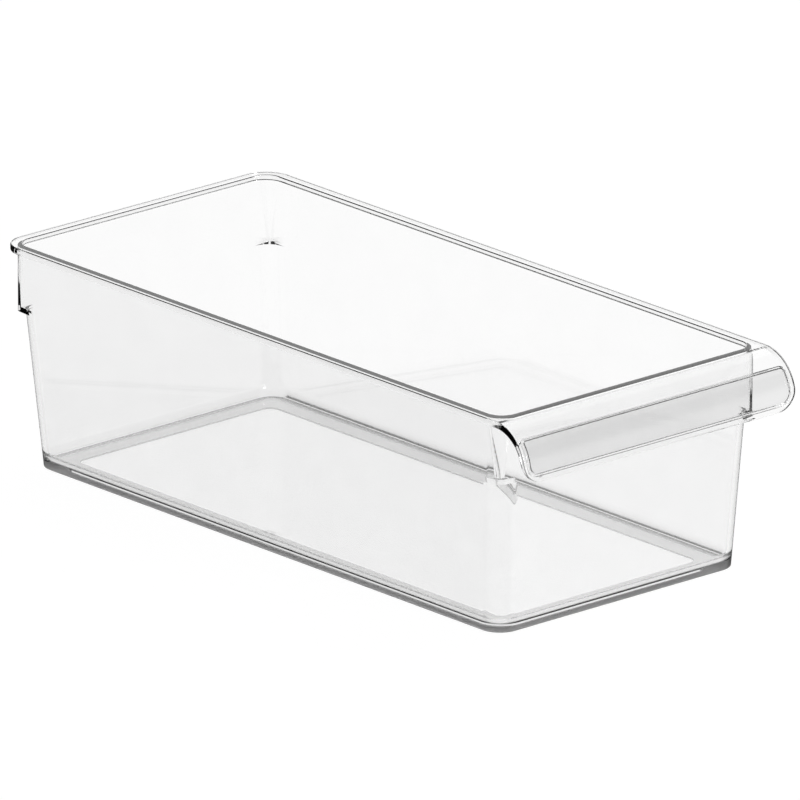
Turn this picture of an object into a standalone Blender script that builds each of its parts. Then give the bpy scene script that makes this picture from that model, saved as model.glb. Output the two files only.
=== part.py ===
"""Clear fridge bin with a bent pull handle and a grey panel in the handle's window.

Frame: metres, +Z up, origin under the middle of the bin, +X towards the handle. The bin is made flat
first, with the handle sticking straight out of the front rim, and the handle is then bent down.
"""
from math import acos, cos, pi, radians, sin, tan

import bmesh
import bpy
from mathutils import Vector

# Driving dimensions
LENGTH = 0.352
WIDTH = 0.160
HEIGHT = 0.103
WALL = 0.0022

# Rim: a flange all round, whose front becomes the handle
RIM_OVERHANG = 0.0033
RIM_THICKNESS = 0.0032
RIM_CORNER = 0.0132
RIM_EDGE = 0.0007

# Handle: a plate that bends down through a quarter turn in front of the bin
HANDLE_REACH = 0.020
HANDLE_DROP = 0.0249
HANDLE_CORNER = 0.010
HANDLE_TIP_THICKNESS = 0.0024
BEND_STEPS = 10

# Walls lean in towards the floor, by a different angle on each side
SIDE_DRAFT = radians(2.8)
FRONT_DRAFT = radians(3.8)
BACK_DRAFT = radians(6.1)
WALL_CORNER = 0.0104

# The upright corners stay vertical from the rim down to a ledge
LEDGE_DEPTH = 0.0316
LEDGE_THICKNESS = 0.0020
LEDGE_FALL = 0.0004
CORNER_LEAD = 0.0003

# Floor: thicker in a band round its edge, on which the bin stands
FLOOR_TOP = 0.0030
FLOOR_RECESS = 0.0008
BAND_WIDTH = 0.0137
RECESS_CORNER = 0.0050
BASE_EDGE = 0.0006
FLOOR_FILLET = 0.0049
FILLET_STEPS = 4

# Window in the handle, with a rebate behind it for the panel's flange
WINDOW_START = radians(47.0)
WINDOW_DROP = 0.0211
WINDOW_MARGIN = 0.0035
WINDOW_TOP_CORNER = 0.0016
WINDOW_BOTTOM_CORNER = 0.0045
REBATE_WIDTH = 0.0014
REBATE_FRONT = 0.0014
PANEL_GAP = 0.0003
PANEL_INSET = 0.0001
PANEL_BACK = 0.0023

ARC_STEPS = 6
CUTTER_MARGIN = 0.002

# Places that follow from the sizes above
BACK = -LENGTH / 2
FRONT_WALL = LENGTH / 2 - HANDLE_REACH
HALF_WIDTH = WIDTH / 2
COLUMN_CORNER = RIM_CORNER - RIM_OVERHANG
BEND_LENGTH = HANDLE_REACH * pi / 2
HANDLE_LENGTH = BEND_LENGTH + HANDLE_DROP - HANDLE_REACH


def clear_scene():
    for item in list(bpy.data.objects):
        bpy.data.objects.remove(item, do_unlink=True)


def material(name, colour, roughness, alpha=1.0, transmission=0.0):
    """A Principled material in one colour."""
    result = bpy.data.materials.new(name)
    result.use_nodes = True
    shader = result.node_tree.nodes["Principled BSDF"]
    shader.inputs["Base Color"].default_value = (*colour, 1.0)
    shader.inputs["Roughness"].default_value = roughness
    shader.inputs["Metallic"].default_value = 0.0
    shader.inputs["Alpha"].default_value = alpha
    shader.inputs["Transmission Weight"].default_value = transmission
    return result


# ---------------------------------------------------------------- outlines, seen from above

def corner_points(centre, radius, start, trim_first=0.0, trim_last=0.0):
    """Points of a quarter arc about centre, less an angle at its start and one at its end."""
    sweep = pi / 2 - trim_first - trim_last
    angles = [start + trim_first + sweep * step / ARC_STEPS for step in range(ARC_STEPS + 1)]
    return [(centre[0] + radius * cos(a), centre[1] + radius * sin(a)) for a in angles]


def box_outline(back, front, half_width, back_corner, front_corner):
    """A rounded rectangle, anticlockwise from the front right corner, with a point past each arc."""
    points = []
    corners = ((front, half_width, front_corner, 0), (back, half_width, back_corner, 1),
               (back, -half_width, back_corner, 2), (front, -half_width, front_corner, 3))
    for x, y, radius, quarter in corners:
        inward_x = -1 if x == front else 1
        inward_y = -1 if y > 0 else 1
        centre = (x + inward_x * radius, y + inward_y * radius)
        arc = corner_points(centre, radius, quarter * pi / 2)
        along_y = (x, centre[1] + inward_y * CORNER_LEAD)
        along_x = (centre[0] + inward_x * CORNER_LEAD, y)
        first, last = (along_y, along_x) if quarter % 2 == 0 else (along_x, along_y)
        points += [first, *arc, last]
    return points


def wall_outline(depth, inset, corner=None):
    """The drafted walls at a depth below the rim, inset from their outer faces."""
    radius = WALL_CORNER - inset if corner is None else corner
    return box_outline(BACK + RIM_OVERHANG + depth * tan(BACK_DRAFT) + inset,
                       FRONT_WALL - depth * tan(FRONT_DRAFT) - inset,
                       HALF_WIDTH - RIM_OVERHANG - depth * tan(SIDE_DRAFT) - inset,
                       radius, radius)


def column_outline(depth, inset):
    """The drafted walls at a depth, carried on to upright round corners, which so stand proud."""
    back, front = BACK + RIM_OVERHANG, FRONT_WALL
    half = HALF_WIDTH - RIM_OVERHANG
    radius = COLUMN_CORNER - inset
    points = []
    for quarter in range(4):
        ahead = quarter in (0, 3)
        left = quarter in (0, 1)
        inward_x = -1 if ahead else 1
        inward_y = -1 if left else 1
        x = front if ahead else back
        y = half if left else -half
        draft_x = depth * tan(FRONT_DRAFT if ahead else BACK_DRAFT)
        draft_y = depth * tan(SIDE_DRAFT)
        centre = (x + inward_x * COLUMN_CORNER, y + inward_y * COLUMN_CORNER)
        from_end = acos(1 - draft_x / radius)
        from_side = acos(1 - draft_y / radius)
        trims = (from_end, from_side) if quarter % 2 == 0 else (from_side, from_end)
        arc = corner_points(centre, radius, quarter * pi / 2, *trims)
        on_end = (x + inward_x * (draft_x + inset), centre[1] + inward_y * CORNER_LEAD)
        on_side = (centre[0] + inward_x * CORNER_LEAD, y + inward_y * (draft_y + inset))
        first, last = (on_end, on_side) if quarter % 2 == 0 else (on_side, on_end)
        points += [first, *arc, last]
    return points


def rim_outline(inset):
    """The rim's outer edge, with the handle laid out flat in front."""
    return box_outline(BACK + inset, FRONT_WALL + HANDLE_LENGTH - inset, HALF_WIDTH - inset,
                       RIM_CORNER - inset, HANDLE_CORNER - inset)


def window_outline(inset):
    """The window's outline on the flat handle."""
    start = FRONT_WALL + HANDLE_REACH * WINDOW_START
    end = FRONT_WALL + BEND_LENGTH + WINDOW_DROP - HANDLE_REACH
    return box_outline(start + inset, end - inset, HALF_WIDTH - WINDOW_MARGIN - inset,
                       WINDOW_TOP_CORNER - inset, WINDOW_BOTTOM_CORNER - inset)


# ---------------------------------------------------------------- meshes

def loft(rings):
    """A closed mesh through rings of (outline, height), capped flat at both ends."""
    mesh = bmesh.new()
    loops = [[mesh.verts.new((x, y, z)) for x, y in outline] for outline, z in rings]
    count = len(loops[0])
    for lower, upper in zip(loops, loops[1:]):
        for i in range(count):
            j = (i + 1) % count
            mesh.faces.new((lower[i], lower[j], upper[j], upper[i]))
    mesh.faces.new(list(reversed(loops[0])))
    mesh.faces.new(loops[-1])
    bmesh.ops.recalc_face_normals(mesh, faces=mesh.faces)
    return mesh


def bend_point(point):
    """Where a point of the flat handle goes when the handle is bent down."""
    run = point.x - FRONT_WALL
    if run <= 0:
        return point
    thinning = 1 - (1 - HANDLE_TIP_THICKNESS / RIM_THICKNESS) * run / HANDLE_LENGTH
    radius = HANDLE_REACH - (HEIGHT - point.z) * thinning
    angle = min(run, BEND_LENGTH) / HANDLE_REACH
    below = max(run - BEND_LENGTH, 0)
    return Vector((FRONT_WALL + radius * sin(angle), point.y,
                   HEIGHT - HANDLE_REACH + radius * cos(angle) - below))


def bend_handle(mesh):
    """Cuts the flat handle into strips across the bend, then bends it."""
    for step in range(BEND_STEPS + 1):
        place = FRONT_WALL + BEND_LENGTH * step / BEND_STEPS
        everything = mesh.verts[:] + mesh.edges[:] + mesh.faces[:]
        bmesh.ops.bisect_plane(mesh, geom=everything, dist=1e-7, plane_co=(place, 0, 0),
                               plane_no=(1, 0, 0))
    for vertex in mesh.verts:
        vertex.co = bend_point(vertex.co)


def make_object(name, mesh, finish=None):
    """Turns a mesh into an object, with its round stretches shaded smooth."""
    data = bpy.data.meshes.new(name)
    mesh.to_mesh(data)
    mesh.free()
    data.shade_smooth()
    data.set_sharp_from_angle(angle=radians(30))
    result = bpy.data.objects.new(name, data)
    bpy.context.scene.collection.objects.link(result)
    if finish:
        data.materials.append(finish)
    return result


def cut(target, name, outline, top, bottom):
    """Cuts an opening with a given outline through the bent handle, between two heights."""
    mesh = loft([(outline, bottom), (outline, top)])
    bend_handle(mesh)
    cutter = make_object(name, mesh)
    cutter.hide_render = True
    cutter.display_type = "WIRE"
    modifier = target.modifiers.new(name, "BOOLEAN")
    modifier.operation = "DIFFERENCE"
    modifier.solver = "EXACT"
    modifier.object = cutter


# ---------------------------------------------------------------- pieces

def outside_rings():
    """From the underside's recess up the outside to the rim's outer edge."""
    recess = wall_outline(HEIGHT, BAND_WIDTH, RECESS_CORNER)
    under_ledge = LEDGE_DEPTH + LEDGE_FALL
    return [
        (recess, FLOOR_RECESS),
        (recess, 0.0),
        (wall_outline(HEIGHT, BASE_EDGE), 0.0),
        (wall_outline(HEIGHT - BASE_EDGE, 0.0), BASE_EDGE),
        (wall_outline(under_ledge, 0.0), HEIGHT - under_ledge),
        (column_outline(LEDGE_DEPTH, 0.0), HEIGHT - LEDGE_DEPTH),
        (column_outline(RIM_THICKNESS, 0.0), HEIGHT - RIM_THICKNESS),
        (rim_outline(RIM_EDGE), HEIGHT - RIM_THICKNESS),
        (rim_outline(0.0), HEIGHT - RIM_THICKNESS + RIM_EDGE),
        (rim_outline(0.0), HEIGHT - RIM_EDGE),
        (rim_outline(RIM_EDGE), HEIGHT),
    ]


def inside_rings():
    """From the rim's inner edge down the inside to the floor."""
    ledge = LEDGE_DEPTH - LEDGE_THICKNESS
    rings = [
        (column_outline(0.0, WALL - RIM_EDGE), HEIGHT),
        (column_outline(RIM_EDGE, WALL), HEIGHT - RIM_EDGE),
        (column_outline(ledge, WALL), HEIGHT - ledge),
        (wall_outline(ledge + LEDGE_FALL, WALL), HEIGHT - ledge - LEDGE_FALL),
    ]
    for step in range(FILLET_STEPS + 1):
        angle = pi / 2 * step / FILLET_STEPS
        height = FLOOR_TOP + FLOOR_FILLET * (1 - sin(angle))
        inset = WALL + FLOOR_FILLET * (1 - cos(angle))
        rings.append((wall_outline(HEIGHT - height, inset), height))
    return rings


def make_body():
    mesh = loft(outside_rings() + inside_rings())
    bend_handle(mesh)
    clear_plastic = material("clear_plastic", (0.93, 0.95, 0.96), 0.05, alpha=0.35, transmission=1.0)
    body = make_object("bin_body", mesh, clear_plastic)
    cut(body, "window_cutter", window_outline(0.0), HEIGHT + CUTTER_MARGIN,
        HEIGHT - RIM_THICKNESS - CUTTER_MARGIN)
    cut(body, "rebate_cutter", window_outline(-REBATE_WIDTH), HEIGHT - REBATE_FRONT,
        HEIGHT - RIM_THICKNESS - CUTTER_MARGIN)
    return body


def make_panel():
    """The panel's face fills the window, and its flange lies in the rebate behind."""
    face = window_outline(PANEL_GAP)
    flange = window_outline(PANEL_GAP - REBATE_WIDTH)
    shoulder = HEIGHT - REBATE_FRONT - PANEL_GAP
    mesh = loft([(flange, HEIGHT - PANEL_BACK), (flange, shoulder), (face, shoulder),
                 (face, HEIGHT - PANEL_INSET)])
    bend_handle(mesh)
    grey_plastic = material("grey_plastic", (0.74, 0.76, 0.77), 0.25, alpha=0.7, transmission=0.5)
    return make_object("handle_panel", mesh, grey_plastic)


def main():
    clear_scene()
    make_body()
    make_panel()


main()
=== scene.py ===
"""Looks for the clear fridge bin: the moulded tray with its bent handle, and the grey handle panel.

Metres, in the CAD's frame: +Z up, +X towards the handle, origin under the middle of the bin. As in the
CAD, the tray is made flat first, with the handle straight out of the front rim, and is then bent down.
"""
from math import acos, cos, pi, radians, sin, tan

import bmesh
import bpy
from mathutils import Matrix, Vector


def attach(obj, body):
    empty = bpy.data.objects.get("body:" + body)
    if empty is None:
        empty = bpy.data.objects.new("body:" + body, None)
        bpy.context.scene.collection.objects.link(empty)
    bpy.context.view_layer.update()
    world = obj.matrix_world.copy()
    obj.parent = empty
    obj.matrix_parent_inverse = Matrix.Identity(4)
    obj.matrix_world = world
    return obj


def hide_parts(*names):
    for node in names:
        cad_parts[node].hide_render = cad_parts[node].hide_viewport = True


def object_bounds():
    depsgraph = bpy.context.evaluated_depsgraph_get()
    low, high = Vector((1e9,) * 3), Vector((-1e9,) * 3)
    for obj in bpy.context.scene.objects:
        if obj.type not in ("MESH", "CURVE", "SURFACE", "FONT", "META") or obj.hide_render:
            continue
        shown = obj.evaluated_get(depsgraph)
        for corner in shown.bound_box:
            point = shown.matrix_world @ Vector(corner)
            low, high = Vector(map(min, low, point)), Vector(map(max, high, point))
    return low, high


# The bin's sizes, as in the CAD
WALL = 0.0022
RIM_OVERHANG = 0.0033
RIM_THICKNESS = 0.0032
RIM_CORNER = 0.0132
HANDLE_REACH = 0.020
HANDLE_DROP = 0.0249
HANDLE_CORNER = 0.010
HANDLE_TIP_THICKNESS = 0.0024
SIDE_DRAFT = radians(2.8)
FRONT_DRAFT = radians(3.8)
BACK_DRAFT = radians(6.1)
WALL_CORNER = 0.0104
LEDGE_DEPTH = 0.0316
LEDGE_THICKNESS = 0.0020
LEDGE_FALL = 0.0004
CORNER_LEAD = 0.0003
FLOOR_TOP = 0.0030
FLOOR_RECESS = 0.0008
BAND_WIDTH = 0.0137
RECESS_CORNER = 0.0050
FLOOR_FILLET = 0.0049
WINDOW_START = radians(47.0)
WINDOW_DROP = 0.0211
WINDOW_MARGIN = 0.0035
WINDOW_TOP_CORNER = 0.0016
WINDOW_BOTTOM_CORNER = 0.0045
REBATE_WIDTH = 0.0014
REBATE_FRONT = 0.0014
PANEL_GAP = 0.0003
PANEL_INSET = 0.0001
PANEL_BACK = 0.0023

# Edge rounding, and how finely everything is cut
RIM_EDGE = 0.0007
BASE_EDGE = 0.0006
WINDOW_EDGE = 0.0004
EDGE_STEPS = 4
ARC_STEPS = 20
FILLET_STEPS = 10
BEND_STEPS = 36
CUTTER_MARGIN = 0.002
CUT_TOLERANCE = 1e-7
SHARP_ANGLE = radians(40)

# Camera: far away with a long lens, so the view has almost no perspective
CAMERA_AZIMUTH = radians(48.51)
CAMERA_ELEVATION = radians(18.68)
CAMERA_TARGET = Vector((0.0034, 0.0, 0.0562))
CAMERA_DISTANCE = 12.0
SENSOR_WIDTH = 36.0
VIEW_WIDTH = 0.354
VIEW_REACH = 100.0

# Plastic: how strongly it takes up light, how rough its gloss is, and how deep its ripple
PLASTIC_IOR = 1.49
ABSORBED = (0.5, 0.5, 0.5, 1.0)
CLEAR_DENSITY = 26.0
CLEAR_ROUGHNESS = 0.005
CLEAR_TEXTURE = 0.1
GREY_DENSITY = 170.0
GREY_ROUGHNESS = 0.03
GREY_TEXTURE = 0.3
FOOT_ROUGHNESS = 0.5
FOOT_START = 0.00005
FOOT_END = 0.0002

# Grain of the plastic: a noise, the part of it that counts, and what it does to tint and gloss
GRAIN_SCALE = 60.0
GRAIN_DETAIL = 4.0
GRAIN_SPREAD = (0.3, 0.7)
DEEPEST_TINT = 0.985
GLOSSIEST = 0.5
HAZIEST = 1.5
RIPPLE_SCALE = 300.0
RIPPLE_HEIGHT = 0.00001

# Studio floor: mostly glows by itself, so that no shadow darkens it
FLOOR_RADIUS = 30.0
FLOOR_SEGMENTS = 96
FLOOR_GAP = 0.0002
FLOOR_GLOW = 0.985
FLOOR_COLOUR = 0.06

# Studio light: a dark room with four soft lights. Each is its direction from the bin, the cosines of
# the angles from it where the light starts and where it is full, and its strength.
DARK_SKY = 0.03
LEFT_LIGHT = (Vector((-0.71, 0.63, 0.32)), 0.85, 0.95, 1.1)
LOW_LIGHT = (Vector((0.71, 0.63, -0.32)), 0.80, 0.96, 0.85)
TOP_LIGHT = (Vector((0.0, 0.63, 0.78)), 0.80, 0.95, 1.0)
RIGHT_LIGHT = (Vector((0.94, 0.10, 0.33)), 0.978, 0.990, 12.0)


# ---------------------------------------------------------------- frame

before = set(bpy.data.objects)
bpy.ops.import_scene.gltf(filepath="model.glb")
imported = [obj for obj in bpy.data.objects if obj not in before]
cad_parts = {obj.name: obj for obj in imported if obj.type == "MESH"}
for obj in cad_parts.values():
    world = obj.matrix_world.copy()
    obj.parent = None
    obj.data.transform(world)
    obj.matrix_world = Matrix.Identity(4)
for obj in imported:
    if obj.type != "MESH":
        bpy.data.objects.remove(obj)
CAD_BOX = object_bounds()
LOW, HIGH = CAD_BOX
BACK = LOW.x
HEIGHT = HIGH.z
HALF_WIDTH = HIGH.y
FRONT_WALL = HIGH.x - HANDLE_REACH
COLUMN_CORNER = RIM_CORNER - RIM_OVERHANG
BEND_LENGTH = HANDLE_REACH * pi / 2
HANDLE_LENGTH = BEND_LENGTH + HANDLE_DROP - HANDLE_REACH


# ---------------------------------------------------------------- outlines, seen from above

def corner_points(centre, radius, start, trim_first=0.0, trim_last=0.0):
    """Points of a quarter arc about centre, less an angle at its start and one at its end."""
    sweep = pi / 2 - trim_first - trim_last
    angles = [start + trim_first + sweep * step / ARC_STEPS for step in range(ARC_STEPS + 1)]
    return [(centre[0] + radius * cos(a), centre[1] + radius * sin(a)) for a in angles]


def box_outline(back, front, half_width, back_corner, front_corner):
    """A rounded rectangle, anticlockwise from the front right corner, with a point past each arc."""
    points = []
    corners = ((front, half_width, front_corner, 0), (back, half_width, back_corner, 1),
               (back, -half_width, back_corner, 2), (front, -half_width, front_corner, 3))
    for x, y, radius, quarter in corners:
        inward_x = -1 if x == front else 1
        inward_y = -1 if y > 0 else 1
        centre = (x + inward_x * radius, y + inward_y * radius)
        arc = corner_points(centre, radius, quarter * pi / 2)
        along_y = (x, centre[1] + inward_y * CORNER_LEAD)
        along_x = (centre[0] + inward_x * CORNER_LEAD, y)
        first, last = (along_y, along_x) if quarter % 2 == 0 else (along_x, along_y)
        points += [first, *arc, last]
    return points


def wall_outline(depth, inset, corner=None):
    """The drafted walls at a depth below the rim, inset from their outer faces."""
    radius = WALL_CORNER - inset if corner is None else corner
    return box_outline(BACK + RIM_OVERHANG + depth * tan(BACK_DRAFT) + inset,
                       FRONT_WALL - depth * tan(FRONT_DRAFT) - inset,
                       HALF_WIDTH - RIM_OVERHANG - depth * tan(SIDE_DRAFT) - inset,
                       radius, radius)


def column_outline(depth, inset):
    """The drafted walls at a depth, carried on to upright round corners, which so stand proud."""
    back, front = BACK + RIM_OVERHANG, FRONT_WALL
    half = HALF_WIDTH - RIM_OVERHANG
    radius = COLUMN_CORNER - inset
    points = []
    for quarter in range(4):
        ahead = quarter in (0, 3)
        left = quarter in (0, 1)
        inward_x = -1 if ahead else 1
        inward_y = -1 if left else 1
        x = front if ahead else back
        y = half if left else -half
        draft_x = depth * tan(FRONT_DRAFT if ahead else BACK_DRAFT)
        draft_y = depth * tan(SIDE_DRAFT)
        centre = (x + inward_x * COLUMN_CORNER, y + inward_y * COLUMN_CORNER)
        from_end = acos(1 - draft_x / radius)
        from_side = acos(1 - draft_y / radius)
        trims = (from_end, from_side) if quarter % 2 == 0 else (from_side, from_end)
        arc = corner_points(centre, radius, quarter * pi / 2, *trims)
        on_end = (x + inward_x * (draft_x + inset), centre[1] + inward_y * CORNER_LEAD)
        on_side = (centre[0] + inward_x * CORNER_LEAD, y + inward_y * (draft_y + inset))
        first, last = (on_end, on_side) if quarter % 2 == 0 else (on_side, on_end)
        points += [first, *arc, last]
    return points


def rim_outline(inset):
    """The rim's outer edge, with the handle laid out flat in front."""
    return box_outline(BACK + inset, FRONT_WALL + HANDLE_LENGTH - inset, HALF_WIDTH - inset,
                       RIM_CORNER - inset, HANDLE_CORNER - inset)


def window_outline(inset):
    """The window's outline on the flat handle."""
    start = FRONT_WALL + HANDLE_REACH * WINDOW_START
    end = FRONT_WALL + BEND_LENGTH + WINDOW_DROP - HANDLE_REACH
    return box_outline(start + inset, end - inset, HALF_WIDTH - WINDOW_MARGIN - inset,
                       WINDOW_TOP_CORNER - inset, WINDOW_BOTTOM_CORNER - inset)


# ---------------------------------------------------------------- meshes

def quarter_turn(steps, flip=False):
    """Pairs (across, along) round a quarter turn, from (0, 1) to (1, 0), or the other way round."""
    angles = [pi / 2 * step / steps for step in range(steps + 1)]
    turn = [(1 - cos(a), 1 - sin(a)) for a in angles]
    return [(b, a) for a, b in turn] if flip else turn


def loft(rings):
    """A closed mesh through rings of (outline, height), capped flat at both ends."""
    mesh = bmesh.new()
    loops = [[mesh.verts.new((x, y, z)) for x, y in outline] for outline, z in rings]
    count = len(loops[0])
    for lower, upper in zip(loops, loops[1:]):
        for i in range(count):
            j = (i + 1) % count
            mesh.faces.new((lower[i], lower[j], upper[j], upper[i]))
    mesh.faces.new(list(reversed(loops[0])))
    mesh.faces.new(loops[-1])
    bmesh.ops.recalc_face_normals(mesh, faces=mesh.faces)
    return mesh


def bend_point(point):
    """Where a point of the flat handle goes when the handle is bent down."""
    run = point.x - FRONT_WALL
    if run <= 0:
        return point
    thinning = 1 - (1 - HANDLE_TIP_THICKNESS / RIM_THICKNESS) * run / HANDLE_LENGTH
    radius = HANDLE_REACH - (HEIGHT - point.z) * thinning
    angle = min(run, BEND_LENGTH) / HANDLE_REACH
    below = max(run - BEND_LENGTH, 0)
    return Vector((FRONT_WALL + radius * sin(angle), point.y,
                   HEIGHT - HANDLE_REACH + radius * cos(angle) - below))


def bend_handle(mesh):
    """Cuts the flat handle into strips across the bend, then bends it."""
    for step in range(BEND_STEPS + 1):
        place = FRONT_WALL + BEND_LENGTH * step / BEND_STEPS
        everything = mesh.verts[:] + mesh.edges[:] + mesh.faces[:]
        bmesh.ops.bisect_plane(mesh, geom=everything, dist=CUT_TOLERANCE, plane_co=(place, 0, 0),
                               plane_no=(1, 0, 0))
    for vertex in mesh.verts:
        vertex.co = bend_point(vertex.co)


def add_object(name, mesh):
    """Turns a mesh into an object in the scene."""
    data = bpy.data.meshes.new(name)
    mesh.to_mesh(data)
    mesh.free()
    result = bpy.data.objects.new(name, data)
    bpy.context.scene.collection.objects.link(result)
    return result


def cut_flat(mesh, cutter_mesh):
    """The mesh less the cutter, both still flat."""
    target = add_object("uncut", mesh)
    cutter = add_object("cutter", cutter_mesh)
    modifier = target.modifiers.new("cut", "BOOLEAN")
    modifier.operation = "DIFFERENCE"
    modifier.solver = "EXACT"
    modifier.object = cutter
    result = bmesh.new()
    result.from_object(target, bpy.context.evaluated_depsgraph_get())
    for spare in (target, cutter):
        data = spare.data
        bpy.data.objects.remove(spare)
        bpy.data.meshes.remove(data)
    return result


def smooth(piece, finish):
    """Smooth shading whose flat faces stay flat, and the piece's material."""
    piece.data.shade_smooth()
    piece.data.set_sharp_from_angle(angle=SHARP_ANGLE)
    modifier = piece.modifiers.new("flat faces", "WEIGHTED_NORMAL")
    modifier.keep_sharp = True
    piece.data.materials.append(finish)


# ---------------------------------------------------------------- pieces

def outside_rings():
    """From the underside's recess up the outside to the rim's outer edge."""
    recess = wall_outline(HEIGHT, BAND_WIDTH, RECESS_CORNER)
    under_ledge = LEDGE_DEPTH + LEDGE_FALL
    rings = [(recess, FLOOR_RECESS), (recess, 0.0)]
    for across, up in quarter_turn(EDGE_STEPS):
        rings.append((wall_outline(HEIGHT - BASE_EDGE * across, BASE_EDGE * up), BASE_EDGE * across))
    rings += [
        (wall_outline(under_ledge, 0.0), HEIGHT - under_ledge),
        (column_outline(LEDGE_DEPTH, 0.0), HEIGHT - LEDGE_DEPTH),
        (column_outline(RIM_THICKNESS, 0.0), HEIGHT - RIM_THICKNESS),
    ]
    for across, up in quarter_turn(EDGE_STEPS):
        rings.append((rim_outline(RIM_EDGE * up), HEIGHT - RIM_THICKNESS + RIM_EDGE * across))
    for across, up in quarter_turn(EDGE_STEPS, flip=True):
        rings.append((rim_outline(RIM_EDGE * up), HEIGHT - RIM_EDGE * across))
    return rings


def inside_rings():
    """From the rim's inner edge down the inside to the floor."""
    ledge = LEDGE_DEPTH - LEDGE_THICKNESS
    rings = []
    for across, down in quarter_turn(EDGE_STEPS):
        depth = RIM_EDGE * across
        rings.append((column_outline(depth, WALL - RIM_EDGE * down), HEIGHT - depth))
    rings += [
        (column_outline(ledge, WALL), HEIGHT - ledge),
        (wall_outline(ledge + LEDGE_FALL, WALL), HEIGHT - ledge - LEDGE_FALL),
    ]
    for across, down in quarter_turn(FILLET_STEPS):
        height = FLOOR_TOP + FLOOR_FILLET * down
        rings.append((wall_outline(HEIGHT - height, WALL + FLOOR_FILLET * across), height))
    return rings


def window_cutter():
    """The window, wider at the handle's face for its rounded edge, and at the back for the rebate."""
    rings = [
        (window_outline(-REBATE_WIDTH), HEIGHT - RIM_THICKNESS - CUTTER_MARGIN),
        (window_outline(-REBATE_WIDTH), HEIGHT - REBATE_FRONT),
        (window_outline(0.0), HEIGHT - REBATE_FRONT),
    ]
    for across, up in quarter_turn(EDGE_STEPS):
        rings.append((window_outline(-WINDOW_EDGE * across), HEIGHT - WINDOW_EDGE * up))
    rings.append((window_outline(-WINDOW_EDGE), HEIGHT + CUTTER_MARGIN))
    return loft(rings)


def make_tray(finish):
    """The whole clear moulding: floor, walls, rim and handle."""
    mesh = cut_flat(loft(outside_rings() + inside_rings()), window_cutter())
    bend_handle(mesh)
    tray = add_object("clear_tray", mesh)
    smooth(tray, finish)
    return tray


def make_panel(finish):
    """The panel: its face fills the window, and its flange lies in the rebate behind."""
    flange = window_outline(PANEL_GAP - REBATE_WIDTH)
    shoulder = HEIGHT - REBATE_FRONT - PANEL_GAP
    rings = [(flange, HEIGHT - PANEL_BACK), (flange, shoulder), (window_outline(PANEL_GAP), shoulder)]
    for across, up in quarter_turn(EDGE_STEPS, flip=True):
        rings.append((window_outline(PANEL_GAP + WINDOW_EDGE * up),
                      HEIGHT - PANEL_INSET - WINDOW_EDGE * across))
    mesh = loft(rings)
    bend_handle(mesh)
    panel = add_object("window_panel", mesh)
    smooth(panel, finish)
    return panel


# ---------------------------------------------------------------- materials

def new_material(name):
    """A node material, with its nodes, its links and its Principled shader."""
    result = bpy.data.materials.new(name)
    result.use_nodes = True
    tree = result.node_tree
    return result, tree.nodes, tree.links, tree.nodes["Principled BSDF"]


def span(nodes, links, value, start, end, low, high):
    """A value carried from one range to another, and held at its ends."""
    ramp = nodes.new("ShaderNodeMapRange")
    ramp.inputs["From Min"].default_value = start
    ramp.inputs["From Max"].default_value = end
    ramp.inputs["To Min"].default_value = low
    ramp.inputs["To Max"].default_value = high
    links.new(value, ramp.inputs["Value"])
    return ramp.outputs["Result"]


def noise(nodes, links, place, scale):
    """Soft grains, that many to the metre."""
    grain = nodes.new("ShaderNodeTexNoise")
    grain.inputs["Scale"].default_value = scale
    grain.inputs["Detail"].default_value = GRAIN_DETAIL
    links.new(place, grain.inputs["Vector"])
    return grain.outputs["Fac"]


def plastic(name, density, roughness, texture):
    """Clear moulded plastic that takes up a little light, with haze and a frosted foot."""
    result, nodes, links, shader = new_material(name)
    shader.inputs["Transmission Weight"].default_value = 1.0
    shader.inputs["IOR"].default_value = PLASTIC_IOR
    volume = nodes.new("ShaderNodeVolumeAbsorption")
    volume.inputs["Color"].default_value = ABSORBED
    volume.inputs["Density"].default_value = density
    links.new(volume.outputs["Volume"], nodes["Material Output"].inputs["Volume"])

    place = nodes.new("ShaderNodeTexCoord").outputs["Object"]
    grain = noise(nodes, links, place, GRAIN_SCALE)
    tint = span(nodes, links, grain, *GRAIN_SPREAD, DEEPEST_TINT, 1.0)
    links.new(tint, shader.inputs["Base Color"])
    haze = span(nodes, links, grain, *GRAIN_SPREAD, GLOSSIEST * roughness, HAZIEST * roughness)
    height = nodes.new("ShaderNodeSeparateXYZ")
    links.new(place, height.inputs["Vector"])
    foot = span(nodes, links, height.outputs["Z"], FOOT_START, FOOT_END, FOOT_ROUGHNESS, 0.0)
    total = nodes.new("ShaderNodeMath")
    total.operation = "ADD"
    links.new(haze, total.inputs[0])
    links.new(foot, total.inputs[1])
    links.new(total.outputs["Value"], shader.inputs["Roughness"])

    ripple = nodes.new("ShaderNodeBump")
    ripple.inputs["Strength"].default_value = texture
    ripple.inputs["Distance"].default_value = RIPPLE_HEIGHT
    links.new(noise(nodes, links, place, RIPPLE_SCALE), ripple.inputs["Height"])
    links.new(ripple.outputs["Normal"], shader.inputs["Normal"])
    return result


def floor_material():
    """A plain matt studio floor that glows white."""
    result, _, _, shader = new_material("studio_floor")
    shader.inputs["Roughness"].default_value = 1.0
    shader.inputs["Specular IOR Level"].default_value = 0.0
    shader.inputs["Base Color"].default_value = (FLOOR_COLOUR, FLOOR_COLOUR, FLOOR_COLOUR, 1.0)
    shader.inputs["Emission Color"].default_value = (1.0, 1.0, 1.0, 1.0)
    shader.inputs["Emission Strength"].default_value = FLOOR_GLOW
    return result


# ---------------------------------------------------------------- stage

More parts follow.
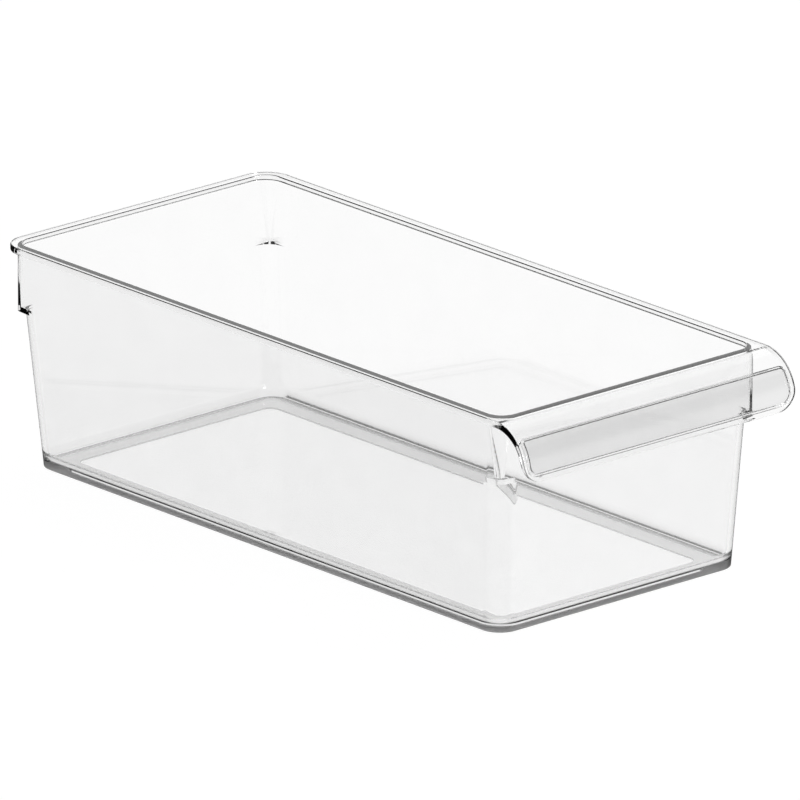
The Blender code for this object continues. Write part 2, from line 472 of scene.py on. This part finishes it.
def make_floor():
    """A wide round floor, just under the bin, that doesn't show in reflections."""
    mesh = bmesh.new()
    bmesh.ops.create_circle(mesh, cap_ends=True, segments=FLOOR_SEGMENTS, radius=FLOOR_RADIUS)
    floor = add_object("studio_floor_disc", mesh)
    floor.location.z = LOW.z - FLOOR_GAP
    floor.visible_glossy = False
    floor.data.materials.append(floor_material())


def patch_of_light(nodes, links, direction, side, start, end, strength):
    """Soft light from one side of the world: none below the start, full strength past the end."""
    towards = nodes.new("ShaderNodeVectorMath")
    towards.operation = "DOT_PRODUCT"
    towards.inputs[1].default_value = side.normalized()
    links.new(direction, towards.inputs[0])
    patch = span(nodes, links, towards.outputs["Value"], start, end, 0.0, strength)
    patch.node.interpolation_type = "SMOOTHSTEP"
    return patch


def make_world():
    """A dark studio with three soft lights behind the bin and one beside it."""
    world = bpy.data.worlds.new("studio")
    bpy.context.scene.world = world
    world.use_nodes = True
    nodes, links = world.node_tree.nodes, world.node_tree.links
    direction = nodes.new("ShaderNodeTexCoord").outputs["Generated"]
    total = nodes.new("ShaderNodeValue").outputs["Value"]
    total.default_value = DARK_SKY
    for light in (LEFT_LIGHT, LOW_LIGHT, TOP_LIGHT, RIGHT_LIGHT):
        patch = patch_of_light(nodes, links, direction, *light)
        more = nodes.new("ShaderNodeMath")
        more.operation = "ADD"
        links.new(total, more.inputs[0])
        links.new(patch, more.inputs[1])
        total = more.outputs["Value"]
    nodes["Background"].inputs["Color"].default_value = (1.0, 1.0, 1.0, 1.0)
    links.new(total, nodes["Background"].inputs["Strength"])


def make_camera():
    """The camera, with almost parallel lines of sight."""
    data = bpy.data.cameras.new("camera")
    data.sensor_width = SENSOR_WIDTH
    data.lens = SENSOR_WIDTH * CAMERA_DISTANCE / VIEW_WIDTH
    data.clip_end = VIEW_REACH
    camera = bpy.data.objects.new("camera", data)
    level = cos(CAMERA_ELEVATION)
    away = Vector((sin(CAMERA_AZIMUTH) * level, -cos(CAMERA_AZIMUTH) * level, sin(CAMERA_ELEVATION)))
    camera.location = CAMERA_TARGET + away * CAMERA_DISTANCE
    camera.rotation_mode = "QUATERNION"
    camera.rotation_quaternion = (-away).to_track_quat("-Z", "Y")
    bpy.context.scene.collection.objects.link(camera)
    bpy.context.scene.camera = camera


# ---------------------------------------------------------------- everything

clear_plastic = plastic("clear_plastic", CLEAR_DENSITY, CLEAR_ROUGHNESS, CLEAR_TEXTURE)
grey_plastic = plastic("grey_plastic", GREY_DENSITY, GREY_ROUGHNESS, GREY_TEXTURE)

tray = make_tray(clear_plastic)
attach(tray, "root")
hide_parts("bin_body")

panel = make_panel(grey_plastic)
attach(panel, "root")
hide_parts("handle_panel")

make_floor()
make_world()
make_camera()
bpy.context.scene.view_settings.view_transform = "Standard"
